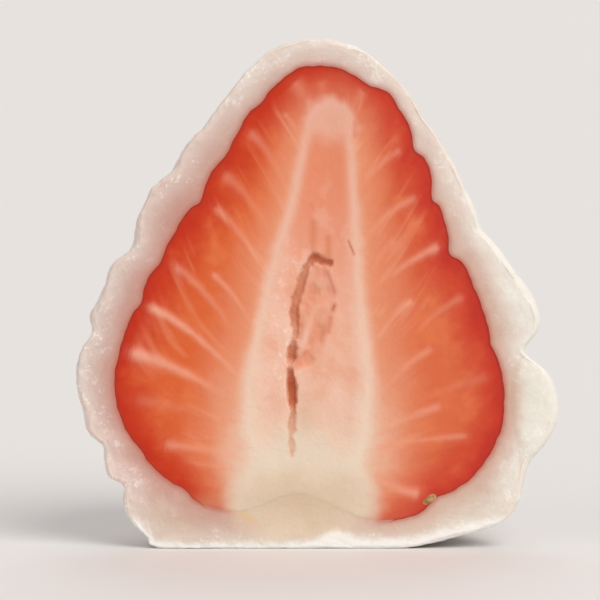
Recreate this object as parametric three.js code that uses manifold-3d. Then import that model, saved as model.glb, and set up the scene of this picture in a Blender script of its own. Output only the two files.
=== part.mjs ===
// Half of a strawberry mochi: a soft rice cake wrapped round one whole strawberry, cut through from top to
// bottom and stood on its base. Millimetres, +Z up. The cut face is flat and looks along -Y, +X is to the
// viewer's right, and the origin is the middle of the bounding box's underside.
//
// Both bodies are made whole, as they are before the knife, and halved at the end. A body is round in plan
// and is drawn by three meridians (right, left and back), each running from the middle of the base to the
// top. Points in between are found by turning from one meridian to the next, and small forms (folds in the
// rice cake, seed pits in the fruit) push the skin in or out along the line from the body's heart.

import * as THREE from "three";
import { mergeVertices } from "three/addons/utils/BufferGeometryUtils.js";
import Module from "manifold-3d";

const wasm = await Module();
wasm.setup();

// ---- Sizes shared by both bodies ----

const HEART = new THREE.Vector3(0, 0, 19); // middle of the fruit, on the cutting plane
const CLEARANCE = 0.35; // between the fruit and the wrapper's hollow
const ROOM = 200; // edge of the block that keeps the back half, larger than the whole cake
const MERGE = 0.002; // corners closer than this are one corner

// ---- The rice cake's outer skin: [distance from the axis, height] ----

const CAKE = {
  right: meridian([
    [0, 0], [7.6, 0], [12.8, 1.1], [16.6, 2.3], [18.1, 4.0], [18.9, 6.6], [20.5, 9.4], [21.8, 12.2],
    [21.1, 15.8], [19.9, 19.2], [19.5, 22.6], [17.3, 25.8], [14.8, 29.5], [13.4, 32.4], [11.7, 35.8],
    [8.1, 41.2], [4.6, 44.7], [1.4, 46.0], [0, 46.1],
  ]),
  left: meridian([
    [0, 0], [13.6, 0], [15.6, 1.1], [17.2, 3.0], [18.4, 6.0], [20.2, 9.6], [21.8, 15.0], [21.2, 18.6],
    [19.5, 23.2], [18.4, 26.2], [16.3, 29.0], [14.8, 32.9], [11.2, 36.9], [8.5, 40.6], [4.9, 44.6],
    [1.6, 46.0], [0, 46.1],
  ]),
  back: meridian([
    [0, 0], [11.4, 0], [15.8, 1.5], [18.8, 6.0], [20.5, 12.5], [20.1, 18.5], [17.8, 25.6], [14.6, 32.2],
    [10.9, 38.2], [7.0, 43.0], [3.2, 45.5], [0, 46.1],
  ]),
};

const RIM = { drag: 0.4, length: 0.9 }; // the knife drags the skin in at the cut edge
const CAKE_RINGS = 60;
const CAKE_SECTORS = 72;

// Each fold is a crease that starts at the cut edge at a height, climbs or drops as it runs round to the back
// (rise, over half a turn) and fades after its reach (radians). Its upper lip swells by a share of its depth.
const FOLDS = [
  { side: "right", height: 17.8, rise: -9, depth: 1.7, width: 1.4, lip: 0.2, reach: 1.7 },
  { side: "right", height: 29.2, rise: -12, depth: 0.3, width: 1.0, lip: 0.1, reach: 1.5 },
  { side: "right", height: 39.4, rise: -16, depth: 0.25, width: 1.1, lip: 0.3, reach: 2.2 },
  { side: "right", height: 7.6, rise: 10, depth: 0.3, width: 1.1, lip: 0.4, reach: 1.3 },
  { side: "left", height: 27.6, rise: -15, depth: 0.7, width: 1.2, lip: 0.5, reach: 1.6 },
  { side: "left", height: 19.6, rise: -8, depth: 0.5, width: 0.9, lip: 0.6, reach: 1.2 },
  { side: "left", height: 9.0, rise: 7, depth: 0.5, width: 0.9, lip: 0.5, reach: 1.4 },
  { side: "left", height: 5.2, rise: 4, depth: 0.7, width: 0.8, lip: 0.4, reach: 1.0 },
  { side: "left", height: 34.6, rise: -10, depth: 0.5, width: 1.1, lip: 0.5, reach: 1.5 },
];

// Broad, shallow swells of the hand-shaped skin, away from the cut edge.
const SWELLS = [
  { size: 0.45, turns: 3, heights: 15, phase: 0.6 },
  { size: 0.32, turns: 5, heights: 9.5, phase: 2.1 },
  { size: 0.2, turns: 8, heights: 6.2, phase: 4.0 },
];

// ---- The strawberry, tip up: [distance from the axis, height] ----

const BERRY = {
  right: meridian([
    [0, 4.6], [3.6, 3.0], [7.6, 2.7], [11.5, 4.7], [14.7, 7.4], [16.5, 10.9], [16.75, 14.8], [15.6, 19.2],
    [14.3, 23.2], [12.9, 26.3], [11.4, 29.6], [10.1, 34.2], [8.4, 38.0], [6.3, 41.3], [4.2, 42.2], [2.0, 43.4],
    [0, 43.7],
  ]),
  left: meridian([
    [0, 4.6], [2.2, 5.0], [6.6, 3.5], [10.4, 4.1], [14.3, 6.9], [17.0, 10.3], [18.3, 14.0], [18.0, 17.4],
    [16.9, 21.0], [14.9, 25.3], [12.6, 29.2], [10.2, 33.1], [7.9, 36.5], [6.0, 39.7], [3.4, 42.3], [1.5, 43.5],
    [0, 43.7],
  ]),
  back: meridian([
    [0, 4.6], [3.4, 3.9], [7.4, 3.1], [11.4, 4.6], [14.8, 8.0], [16.9, 13.4], [16.3, 19.6], [14.0, 26.0],
    [11.0, 32.2], [7.9, 38.0], [4.4, 42.2], [1.8, 43.4], [0, 43.7],
  ]),
};

const BERRY_RINGS = 56;
const BERRY_SECTORS = 56;

// Seed pits that the knife went through: [height on that side, depth].
const PITS = {
  right: [
    [41.9, 0.15], [39.9, 0.15], [36.8, 0.8], [32.4, 0.65], [27.4, 0.75], [18.7, 0.15], [4.4, 0.4],
  ],
  left: [
    [40.6, 0.3], [35.8, 0.2], [32.0, 0.6], [26.4, 0.35], [22.4, 0.4], [8.9, 0.1], [5.3, 0.25],
  ],
};
const PIT_WIDTH = 1.05;

// Seeds caught by the cut: [side, height], lying in their pits.
const SEEDS = [["right", 27.4], ["right", 4.4], ["left", 22.3]];
const SEED = { length: 1.5, width: 0.95, depth: 1.1 };

// ---- The torn hollow in the fruit's core ----

const SLIT = {
  // [across, height] along its middle, from the top down
  line: [[1.0, 26.0], [-0.2, 26.35], [-1.3, 24.7], [-2.15, 21.2], [-2.45, 16.2], [-2.3, 10.2]],
  width: 0.6,
  depth: 3.2,
};
const HOLLOW = { top: 26.1, bottom: 15.8, bulge: 3.3, depth: 1.2 }; // widens to the right of the slit

// ---- Shape functions ----

function meridian(pairs) {
  const curve = new THREE.SplineCurve(pairs.map(([out, up]) => new THREE.Vector2(out, up)));
  curve.arcLengthDivisions = 600;
  return curve;
}

// Where a side's meridian first reaches a height, coming down from the top.
function onSide(body, side, height) {
  const fromTop = body[side].getSpacedPoints(400).reverse();
  const found = fromTop.find((p) => p.y <= height);
  return new THREE.Vector3(side === "right" ? found.x : -found.x, 0, found.y);
}

function away(point) {
  return point.clone().sub(HEART).normalize();
}

const pits = Object.entries(PITS).flatMap(([side, list]) =>
  list.map(([height, depth]) => ({ at: onSide(BERRY, side, height), depth })),
);

function berryRelief(point) {
  let push = 0;
  for (const pit of pits) {
    const near = point.distanceTo(pit.at) / PIT_WIDTH;
    push -= pit.depth * Math.exp(-near * near);
  }
  return push;
}

// Azimuth 0 is the cut edge on the right and PI the one on the left.
function cakeRelief(point, azimuth) {
  const inset = Math.max(0, 1 - Math.abs(point.y) / RIM.length);
  let push = -RIM.drag * inset * inset;
  for (const fold of FOLDS) {
    const run = fold.side === "right" ? azimuth : Math.PI - azimuth;
    const fade = Math.exp(-((run / fold.reach) ** 2));
    const line = fold.height + (fold.rise * run) / Math.PI;
    const groove = (point.z - line) / fold.width;
    push -= fold.depth * fade * Math.exp(-groove * groove);
    push += fold.depth * fold.lip * fade * Math.exp(-((groove - 2) ** 2));
  }
  const back = THREE.MathUtils.smoothstep(Math.sin(azimuth), 0.15, 0.7);
  const side = THREE.MathUtils.smoothstep(point.z, 1.5, 9);
  const below = THREE.MathUtils.smoothstep(Math.hypot(point.x, point.y), 2, 9); // none at the very top
  for (const swell of SWELLS) {
    const across = Math.sin(swell.turns * azimuth + swell.phase);
    const up = Math.cos((2 * Math.PI * point.z) / swell.heights + swell.phase);
    push += swell.size * across * up * back * side * below;
  }
  return push;
}

// A closed mesh over a body: a lathe of unit radius whose vertices are moved to the body's skin.
function bodySolid(body, rings, sectors, relief, grow = 0) {
  const right = body.right.getSpacedPoints(rings);
  const left = body.left.getSpacedPoints(rings);
  const back = body.back.getSpacedPoints(rings);
  const unitOutline = new THREE.EllipseCurve(0, 0, 1, 1, -Math.PI / 2, Math.PI / 2).getPoints(rings);
  const lathe = new THREE.LatheGeometry(unitOutline, sectors);
  const position = lathe.getAttribute("position");
  for (let sector = 0; sector <= sectors; sector++) {
    const even = (2 * Math.PI * (sector % sectors)) / sectors;
    const azimuth = even - 0.25 * Math.sin(2 * even); // closer together near the cut
    const out = Math.cos(azimuth);
    const deep = Math.sin(azimuth);
    const folded = azimuth > Math.PI ? 2 * Math.PI - azimuth : azimuth;
    for (let ring = 0; ring <= rings; ring++) {
      const side = out >= 0 ? right[ring] : left[ring];
      const point = new THREE.Vector3(
        side.x * out,
        back[ring].x * deep,
        side.y * out * out + back[ring].y * deep * deep,
      );
      point.addScaledVector(away(point), relief(point, folded) + grow);
      position.setXYZ(sector * (rings + 1) + ring, point.x, point.y, point.z);
    }
  }
  return solidOf(lathe);
}

function solidOf(geometry) {
  const bare = geometry.clone();
  bare.deleteAttribute("normal");
  bare.deleteAttribute("uv");
  const merged = mergeVertices(bare, 1e-4);
  return new wasm.Manifold(
    new wasm.Mesh({
      numProp: 3,
      vertProperties: merged.attributes.position.array,
      triVerts: new Uint32Array(merged.index.array),
    }),
  );
}

function geometryOf(solid) {
  const { numProp, numVert, vertProperties, triVerts } = solid.getMesh();
  const positions = new Float32Array(numVert * 3);
  for (let i = 0; i < numVert; i++) {
    positions.set(vertProperties.subarray(i * numProp, i * numProp + 3), i * 3);
  }
  const raw = new THREE.BufferGeometry();
  raw.setAttribute("position", new THREE.BufferAttribute(positions, 3));
  raw.setIndex(new THREE.BufferAttribute(new Uint32Array(triVerts), 1));
  const geometry = mergeVertices(raw, MERGE);
  const corners = geometry.getIndex().array;
  const kept = [];
  for (let i = 0; i < corners.length; i += 3) {
    const [a, b, c] = corners.subarray(i, i + 3);
    if (a !== b && b !== c && c !== a) {
      kept.push(a, b, c);
    }
  }
  geometry.setIndex(kept);
  geometry.computeVertexNormals();
  return geometry;
}

// A seed lies in its pit with its length along the skin.
function seedSolid([side, height], grow = 0) {
  const at = onSide(BERRY, side, height);
  const outward = away(at);
  const grain = new THREE.SphereGeometry(0.5, 10, 7);
  grain.scale(SEED.width + 2 * grow, SEED.depth + 2 * grow, SEED.length + 2 * grow);
  grain.rotateY(Math.atan2(outward.x, outward.z) + Math.PI / 2);
  const sunk = PIT_WIDTH * 0.55;
  grain.translate(at.x - outward.x * sunk, 0.2, at.z - outward.z * sunk);
  return solidOf(grain);
}

function extrudedBack(points, depth) {
  const shape = new THREE.Shape(points.map(([across, up]) => new THREE.Vector2(across, up)));
  const block = new THREE.ExtrudeGeometry(shape, { depth: depth + 1, bevelEnabled: false });
  block.rotateX(Math.PI / 2); // the shape's up becomes +Z, and its depth runs along -Y
  block.translate(0, depth, 0);
  return solidOf(block);
}

// The slit tapers to a point at both ends.
function slitSolid() {
  const line = new THREE.SplineCurve(SLIT.line.map(([x, z]) => new THREE.Vector2(x, z)));
  const steps = 22;
  const one = [];
  const other = [];
  for (let i = 0; i <= steps; i++) {
    const t = i / steps;
    const at = line.getPointAt(t);
    const along = line.getTangentAt(t);
    const half = (SLIT.width / 2) * Math.min(1, 0.25 + 5 * t * (1 - t)) * (1 + 0.25 * Math.sin(i * 2.3));
    one.push([at.x - along.y * half, at.y + along.x * half]);
    other.push([at.x + along.y * half, at.y - along.x * half]);
  }
  return extrudedBack([...one, ...other.reverse()], SLIT.depth);
}

function hollowSolid() {
  const line = new THREE.SplineCurve(SLIT.line.map(([x, z]) => new THREE.Vector2(x, z)));
  const spine = line.getSpacedPoints(60).filter((p) => p.y <= HOLLOW.top && p.y >= HOLLOW.bottom && p.x < 0);
  const edge = spine.map((p) => {
    const share = (HOLLOW.top - p.y) / (HOLLOW.top - HOLLOW.bottom);
    return [p.x + HOLLOW.bulge * Math.sin(Math.PI * share ** 0.75) ** 0.7, p.y];
  });
  return extrudedBack([...spine.map((p) => [p.x, p.y]), ...edge.reverse()], HOLLOW.depth);
}

function keptHalf() {
  const block = new THREE.BoxGeometry(ROOM, ROOM, ROOM);
  block.translate(0, ROOM / 2, ROOM / 2);
  return solidOf(block);
}

// ---- The two pieces ----

function wrapperMesh() {
  let solid = bodySolid(CAKE, CAKE_RINGS, CAKE_SECTORS, cakeRelief).intersect(keptHalf());
  solid = solid.subtract(bodySolid(BERRY, BERRY_RINGS, BERRY_SECTORS, berryRelief, CLEARANCE));
  for (const seed of SEEDS) {
    solid = solid.subtract(seedSolid(seed, CLEARANCE));
  }
  const riceCake = new THREE.MeshStandardMaterial({ color: 0xe9e2da, roughness: 0.7, metalness: 0 });
  const mesh = new THREE.Mesh(geometryOf(solid), riceCake);
  mesh.name = "mochi_wrapper";
  return mesh;
}

function strawberryMesh() {
  let solid = bodySolid(BERRY, BERRY_RINGS, BERRY_SECTORS, berryRelief);
  for (const seed of SEEDS) {
    solid = solid.add(seedSolid(seed));
  }
  solid = solid.intersect(keptHalf()).subtract(slitSolid().add(hollowSolid()));
  const flesh = new THREE.MeshStandardMaterial({ color: 0xd9552f, roughness: 0.45, metalness: 0 });
  const mesh = new THREE.Mesh(geometryOf(solid), flesh);
  mesh.name = "strawberry";
  return mesh;
}

const halfCake = new THREE.Group();
halfCake.add(wrapperMesh(), strawberryMesh());
const box = new THREE.Box3().setFromObject(halfCake);
halfCake.position.set(-(box.min.x + box.max.x) / 2, -(box.min.y + box.max.y) / 2, -box.min.z);

const daifuku = new THREE.Group();
daifuku.add(halfCake);

export default daifuku;
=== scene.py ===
# %% [markdown]
# # Half a strawberry mochi, seen on its cut face
#
# A whole strawberry is wrapped by hand in soft white rice dough, and the cake is cut through from top to
# bottom. What is left to look at is the flat cut: moist red flesh with a pale core, held in a white band
# that is slightly see-through, and behind it a round, floury skin with soft folds.
#
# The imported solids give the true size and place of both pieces. Everything here is drawn round them, in
# metres, and nothing is moved. Lengths below are written in millimetres, because a cake this small reads
# best that way, and turned to metres where a mesh is made.

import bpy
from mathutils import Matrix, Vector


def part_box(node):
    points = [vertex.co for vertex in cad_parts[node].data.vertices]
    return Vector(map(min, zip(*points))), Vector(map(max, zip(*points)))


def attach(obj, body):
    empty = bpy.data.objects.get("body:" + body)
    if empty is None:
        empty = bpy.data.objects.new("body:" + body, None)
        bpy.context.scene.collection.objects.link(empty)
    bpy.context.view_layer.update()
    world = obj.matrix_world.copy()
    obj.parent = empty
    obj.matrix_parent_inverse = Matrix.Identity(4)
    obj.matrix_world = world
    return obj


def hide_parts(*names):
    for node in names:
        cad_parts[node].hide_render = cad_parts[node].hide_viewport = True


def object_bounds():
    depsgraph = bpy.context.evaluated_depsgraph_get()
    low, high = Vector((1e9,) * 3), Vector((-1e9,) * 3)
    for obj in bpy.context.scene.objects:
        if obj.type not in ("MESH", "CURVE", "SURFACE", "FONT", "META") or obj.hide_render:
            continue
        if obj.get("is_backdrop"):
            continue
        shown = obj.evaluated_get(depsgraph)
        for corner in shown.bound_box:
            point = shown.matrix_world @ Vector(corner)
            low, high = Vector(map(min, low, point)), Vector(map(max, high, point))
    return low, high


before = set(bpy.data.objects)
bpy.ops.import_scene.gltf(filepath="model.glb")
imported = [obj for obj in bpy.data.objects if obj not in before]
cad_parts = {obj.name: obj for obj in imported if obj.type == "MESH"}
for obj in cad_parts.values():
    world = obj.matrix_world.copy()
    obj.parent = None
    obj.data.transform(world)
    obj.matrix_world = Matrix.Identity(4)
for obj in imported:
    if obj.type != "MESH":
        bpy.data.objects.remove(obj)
cad_box = [list(corner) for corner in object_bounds()]

import math

import bpy
import numpy as np

MM = 0.001
wrapper_low, wrapper_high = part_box("mochi_wrapper")
CUT_Y = wrapper_low.y / MM  # the cutting plane, in millimetres
AXIS_X = 0.025  # the fruit's axis lies this far to the right of the box's middle
print("frame box in mm:", [[round(value / MM, 2) for value in corner] for corner in cad_box])

# %% [markdown]
# ## Camera, floor and light
#
# The cut face looks straight at a long lens from almost level, so its outline is not bent by perspective.
# The light is soft and comes mostly from the upper right, with a weaker lamp from the left to open the
# shadows and one from behind to draw the rim. All three are sun lamps with a wide disc: that gives the
# soft shadows of a studio box, and it lights the floor evenly into the distance.

# %% Camera
VIEW_WIDTH = 54.0  # what the picture takes in at the cut face
LENS = 300.0
SENSOR = 36.0
AIM = (-1.62 + AXIS_X, CUT_Y, 22.6)
RAISED = math.radians(5.0)

distance = VIEW_WIDTH * LENS / SENSOR
camera = bpy.data.objects.new("camera", bpy.data.cameras.new("camera"))
camera.data.lens = LENS
camera.data.sensor_width = SENSOR
camera.data.clip_start = 0.01
camera.data.clip_end = 50.0
camera.location = (
    AIM[0] * MM,
    (AIM[1] - distance * math.cos(RAISED)) * MM,
    (AIM[2] + distance * math.sin(RAISED)) * MM,
)
camera.rotation_euler = (math.pi / 2 - RAISED, 0, 0)
bpy.context.scene.collection.objects.link(camera)
bpy.context.scene.camera = camera
bpy.context.scene.view_settings.view_transform = "Standard"
print(f"camera {distance:.0f} mm from the cut face")


# %% Lamps and room
def lamp(name, compass, height, strength, softness, tint):
    """Light from a compass direction (0 is behind the camera, 90 is the right) and a height, in degrees."""
    light = bpy.data.lights.new(name, "SUN")
    light.energy = strength
    light.angle = math.radians(softness)
    light.color = tint
    made = bpy.data.objects.new(name, light)
    made.rotation_euler = (math.radians(90 - height), 0, math.radians(compass))
    bpy.context.scene.collection.objects.link(made)


lamp("key", 38, 42, 1.95, 40, (1.0, 0.985, 0.96))
lamp("fill", -50, 25, 0.5, 60, (1.0, 0.97, 0.95))
lamp("back", 170, 50, 0.55, 40, (1.0, 0.98, 0.97))

room = bpy.data.worlds.new("room")
room.use_nodes = True
room.node_tree.nodes["Background"].inputs["Color"].default_value = (0.93, 0.91, 0.90, 1)
room.node_tree.nodes["Background"].inputs["Strength"].default_value = 0.47
bpy.context.scene.world = room
print("three lamps and a pale room")

# %% [markdown]
# ## A small language for nodes
#
# Surface patterns are sums: a mask times a colour, a noise plus a slope. Written as Python expressions
# they stay readable, so one class wraps a node's output and lets `+`, `-`, `*` and `/` add Math nodes.
# `Tree` makes any other node in one call: its type, then its settings, then what goes into its sockets.
# The same class serves materials and Geometry Nodes, because both use the same Math nodes. Its short
# methods are the shapes that masks are made of: a smooth step, a bell, a soft oval and noise.


# %% Sockets that can be added and multiplied
class Socket:
    """One output of a node, on which sums can be written."""

    def __init__(self, tree, link):
        self.tree = tree
        self.link = link

    def _math(self, operation, first, second):
        return self.tree.node("ShaderNodeMath", {"operation": operation}, {0: first, 1: second})

    def __add__(self, other):
        return self._math("ADD", self, other)

    def __radd__(self, other):
        return self._math("ADD", other, self)

    def __sub__(self, other):
        return self._math("SUBTRACT", self, other)

    def __rsub__(self, other):
        return self._math("SUBTRACT", other, self)

    def __mul__(self, other):
        return self._math("MULTIPLY", self, other)

    def __rmul__(self, other):
        return self._math("MULTIPLY", other, self)

    def __truediv__(self, other):
        return self._math("DIVIDE", self, other)

    def __rtruediv__(self, other):
        return self._math("DIVIDE", other, self)

    def __neg__(self):
        return self._math("MULTIPLY", self, -1.0)


class Tree:
    """A node tree of any kind, filled by calls."""

    def __init__(self, nodes):
        self.nodes = nodes

    def feed(self, socket, value):
        if isinstance(value, Socket):
            self.nodes.links.new(value.link, socket)
        else:
            socket.default_value = value

    def node(self, kind, settings=None, inputs=None, output=0):
        made = self.nodes.nodes.new(kind)
        for name, value in (settings or {}).items():
            if name == "stops":
                fill_ramp(made.color_ramp, value)
            else:
                setattr(made, name, value)
        for name, value in (inputs or {}).items():
            self.feed(made.inputs[name], value)
        return Socket(self, made.outputs[output])

    def step(self, value, low, high):
        """0 below low, 1 above high and a smooth rise between."""
        inputs = {"Value": value, "From Min": low, "From Max": high}
        return self.node("ShaderNodeMapRange", {"interpolation_type": "SMOOTHSTEP"}, inputs)

    def bell(self, value, width):
        """1 where value is 0, falling away on both sides over about width."""
        share = value / width
        return self.node("ShaderNodeMath", {"operation": "EXPONENT"}, {0: -(share * share)})

    def mix(self, below, above, share):
        """Colour below, with colour above laid over it by share."""
        settings = {"data_type": "RGBA", "clamp_factor": True}
        return self.node("ShaderNodeMix", settings, {0: share, 6: below, 7: above}, 2)

    def smudge(self, across, height, centre, size):
        """A soft oval: 1 at its centre (across, height), fading over its half width and half height."""
        return self.bell(across - centre[0], size[0]) * self.bell(height - centre[1], size[1])

    def vector(self, x, y, z):
        return self.node("ShaderNodeCombineXYZ", inputs={"X": x, "Y": y, "Z": z})

    def split(self, vector):
        """The three parts of a vector, each as a number."""
        parts = self.node("ShaderNodeSeparateXYZ", inputs={0: vector})
        return [Socket(self, parts.link.node.outputs[axis]) for axis in "XYZ"]

    def vectors(self, operation, first, second):
        """Vector Math on two vectors."""
        return self.node("ShaderNodeVectorMath", {"operation": operation}, {0: first, 1: second})

    def scaled(self, vector, share):
        return self.node("ShaderNodeVectorMath", {"operation": "SCALE"}, {0: vector, "Scale": share})

    def noise(self, vector, scale, detail=3.0, roughness=0.5, distortion=0.0):
        inputs = {
            "Vector": vector,
            "Scale": scale,
            "Detail": detail,
            "Roughness": roughness,
            "Distortion": distortion,
        }
        return self.node("ShaderNodeTexNoise", {"noise_dimensions": "3D"}, inputs)


def fill_ramp(ramp, stops):
    """Stops are (place from 0 to 1, colour) pairs."""
    while len(ramp.elements) < len(stops):
        ramp.elements.new(0.5)
    for element, (place, tint) in zip(ramp.elements, stops):
        element.position = place
        element.color = tint


def colour(red, green, blue):
    """A screen colour, 0 to 255, as the linear values that a shader mixes."""
    shares = [value / 255 for value in (red, green, blue)]
    return tuple(s / 12.92 if s <= 0.04045 else ((s + 0.055) / 1.055) ** 2.4 for s in shares) + (1.0,)


# %% Materials that start from one shader
class Finish(Tree):
    """A material with its Principled shader, and object coordinates in millimetres."""

    def __init__(self, name, constants):
        self.material = bpy.data.materials.new(name)
        self.material.use_nodes = True
        super().__init__(self.material.node_tree)
        self.shader = self.nodes.nodes["Principled BSDF"]
        for socket, value in constants.items():
            self.shader.inputs[socket].default_value = value
        self.place = self.scaled(self.node("ShaderNodeTexCoord", output=3), 1 / MM)

    def of(self, attribute):
        """A number that was stored on the mesh's points."""
        settings = {"attribute_type": "GEOMETRY", "attribute_name": attribute}
        return self.node("ShaderNodeAttribute", settings, output=2)

    def set(self, socket, value):
        self.feed(self.shader.inputs[socket], value)

    def bump(self, height, depth):
        """Fine relief: height is 0 to 1, depth is what 1 stands for, in millimetres."""
        inputs = {"Strength": 1.0, "Distance": depth * MM, "Height": height}
        self.set("Normal", self.node("ShaderNodeBump", inputs=inputs))


print("node helpers ready")

# %% [markdown]
# ## Floor
#
# A plain pale board, so large that its edge is never in view.

# %% Floor
FLOOR_REACH = 20.0  # metres

floor_mesh = bpy.data.meshes.new("floor")
corners = [(-1, -1), (1, -1), (1, 1), (-1, 1)]
floor_mesh.from_pydata([(x * FLOOR_REACH, y * FLOOR_REACH, 0) for x, y in corners], [], [(0, 1, 2, 3)])
floor = bpy.data.objects.new("floor", floor_mesh)
bpy.context.scene.collection.objects.link(floor)
board = Finish("pale_board", {"Base Color": colour(226, 223, 221), "Roughness": 0.7})
floor_mesh.materials.append(board.material)
floor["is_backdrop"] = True
print("floor:", 2 * FLOOR_REACH, "m wide")

# %% [markdown]
# ## Two bodies, each drawn by three lines
#
# Dough pressed round a fruit is nearly round in plan but never quite even. So each body is drawn by three
# meridians, lines that climb from the middle of the base to the tip on the right, on the left and at the
# back. A point of the skin is named by how far up its meridian it lies and by its turn round the axis,
# and turning blends one meridian into the next. The same lines gave the solids their shape.


# %% Meridians
def meridian(pairs):
    """A smooth line through [distance out, height] pairs, read by a share of its length from 0 to 1."""
    points = np.array(pairs, float)
    ends = np.vstack([points[:1], points, points[-1:]])
    reach = np.linspace(0, len(points) - 1, 2400)
    first = np.minimum(reach.astype(int), len(points) - 2)
    f = (reach - first)[:, None]
    a, b, c, d = (ends[first + k] for k in range(4))
    line = 0.5 * (2 * b + (c - a) * f + (2 * a - 5 * b + 4 * c - d) * f**2 + (3 * b - a - 3 * c + d) * f**3)
    length = np.concatenate([[0], np.cumsum(np.linalg.norm(np.diff(line, axis=0), axis=1))])
    share = length / length[-1]
    return lambda t: np.stack([np.interp(t, share, line[:, 0]), np.interp(t, share, line[:, 1])], -1)


# Distance from the axis and height, from the middle of the base up to the tip.
CAKE = {
    "right": meridian(
        [(0, 0), (7.6, 0), (12.8, 1.1), (16.6, 2.3), (18.1, 4.0), (18.9, 6.6), (20.5, 9.4), (21.8, 12.2),
         (21.1, 15.8), (19.9, 19.2), (19.5, 22.6), (17.3, 25.8), (14.8, 29.5), (13.4, 32.4), (11.7, 35.8),
         (8.1, 41.2), (4.6, 44.7), (1.4, 46.0), (0, 46.1)]
    ),
    "left": meridian(
        [(0, 0), (13.6, 0), (15.6, 1.1), (17.2, 3.0), (18.4, 6.0), (20.2, 9.6), (21.8, 15.0), (21.2, 18.6),
         (19.5, 23.2), (18.4, 26.2), (16.3, 29.0), (14.8, 32.9), (11.2, 36.9), (8.5, 40.6), (4.9, 44.6),
         (1.6, 46.0), (0, 46.1)]
    ),
    "back": meridian(
        [(0, 0), (11.4, 0), (15.8, 1.5), (18.8, 6.0), (20.5, 12.5), (20.1, 18.5), (17.8, 25.6),
         (14.6, 32.2), (10.9, 38.2), (7.0, 43.0), (3.2, 45.5), (0, 46.1)]
    ),
}
BERRY = {
    "right": meridian(
        [(0, 4.6), (3.6, 3.0), (7.6, 2.7), (11.5, 4.7), (14.7, 7.4), (16.5, 10.9), (16.75, 14.8),
         (15.6, 19.2), (14.3, 23.2), (12.9, 26.3), (11.4, 29.6), (10.1, 34.2), (8.4, 38.0), (6.3, 41.3),
         (4.2, 42.2), (2.0, 43.4), (0, 43.7)]
    ),
    "left": meridian(
        [(0, 4.6), (2.2, 5.0), (6.6, 3.5), (10.4, 4.1), (14.3, 6.9), (17.0, 10.3), (18.3, 14.0),
         (18.0, 17.4), (16.9, 21.0), (14.9, 25.3), (12.6, 29.2), (10.2, 33.1), (7.9, 36.5), (6.0, 39.7),
         (3.4, 42.3), (1.5, 43.5), (0, 43.7)]
    ),
    "back": meridian(
        [(0, 4.6), (3.4, 3.9), (7.4, 3.1), (11.4, 4.6), (14.8, 8.0), (16.9, 13.4), (16.3, 19.6),
         (14.0, 26.0), (11.0, 32.2), (7.9, 38.0), (4.4, 42.2), (1.8, 43.4), (0, 43.7)]
    ),
}
HEART = np.array([0, 0, 19.0])  # the middle of the fruit, from which small forms push out


def skin_points(body, share, turn):
    """Points on a body: share of the way up its meridians, and turn from the right-hand cut edge."""
    right, left, back = (body[side](share) for side in ("right", "left", "back"))
    across, deep = np.cos(turn), np.sin(turn)
    side = np.where(across[..., None] >= 0, right, left)
    height = side[..., 1] * across**2 + back[..., 1] * deep**2
    return np.stack([side[..., 0] * across, back[..., 0] * deep, height], -1)


def away(points):
    """Directions from the heart of the cake."""
    out = points - HEART
    return out / np.linalg.norm(out, axis=-1, keepdims=True)


def smooth(value, low, high):
    """0 below low, 1 above high and a smooth rise between."""
    share = np.clip((value - low) / (high - low), 0, 1)
    return share * share * (3 - 2 * share)


for name, body in (("cake", CAKE), ("fruit", BERRY)):
    outline = skin_points(body, np.linspace(0, 1, 200), np.zeros(200))
    print(name, "reaches", outline.max(0).round(1), "mm")

# %% [markdown]
# ## Rings from the back to the cut
#
# Both pieces are closed skins with a flat front, so one way of numbering their points serves both. Rings
# run round the cutting axis: the smallest lies at the very back, the largest is the cut edge itself.
# After it come the rings of the cut face. The ring through the cut edge is evenly spaced along the
# outline, so small forms there keep their size.

# %% Rings and closed meshes
AROUND = 512  # points in a ring
BATCH = 4000  # points compared with a line at a time, which keeps the memory small

around = np.linspace(-math.pi, math.pi, AROUND, endpoint=False)


def dome_ring(tilt):
    """Share and turn for one ring, whose points lie tilt radians behind the cutting plane."""
    x = math.cos(tilt) * np.cos(around)
    y = np.full(AROUND, math.sin(tilt))
    z = math.cos(tilt) * np.sin(around)
    return 1 - np.arccos(np.clip(z, -1, 1)) / math.pi, np.arctan2(y, x)


def nearest(points, line):
    """For each point of the cutting plane, how far the line's nearest point is, and that point's number."""
    gaps, numbers = np.empty(len(points)), np.empty(len(points), int)
    for start in range(0, len(points), BATCH):
        part = slice(start, start + BATCH)
        squares = ((points[part, None, :] - line[None]) ** 2).sum(-1)
        numbers[part] = squares.argmin(1)
        gaps[part] = np.sqrt(squares.min(1))
    return gaps, numbers


def edge_distance(points, line):
    return nearest(points, line)[0]


def across_at(line, heights):
    """How far across a line that falls from its first point lies, at each height."""
    return np.interp(heights, line[::-1, 1], line[::-1, 0])


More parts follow.
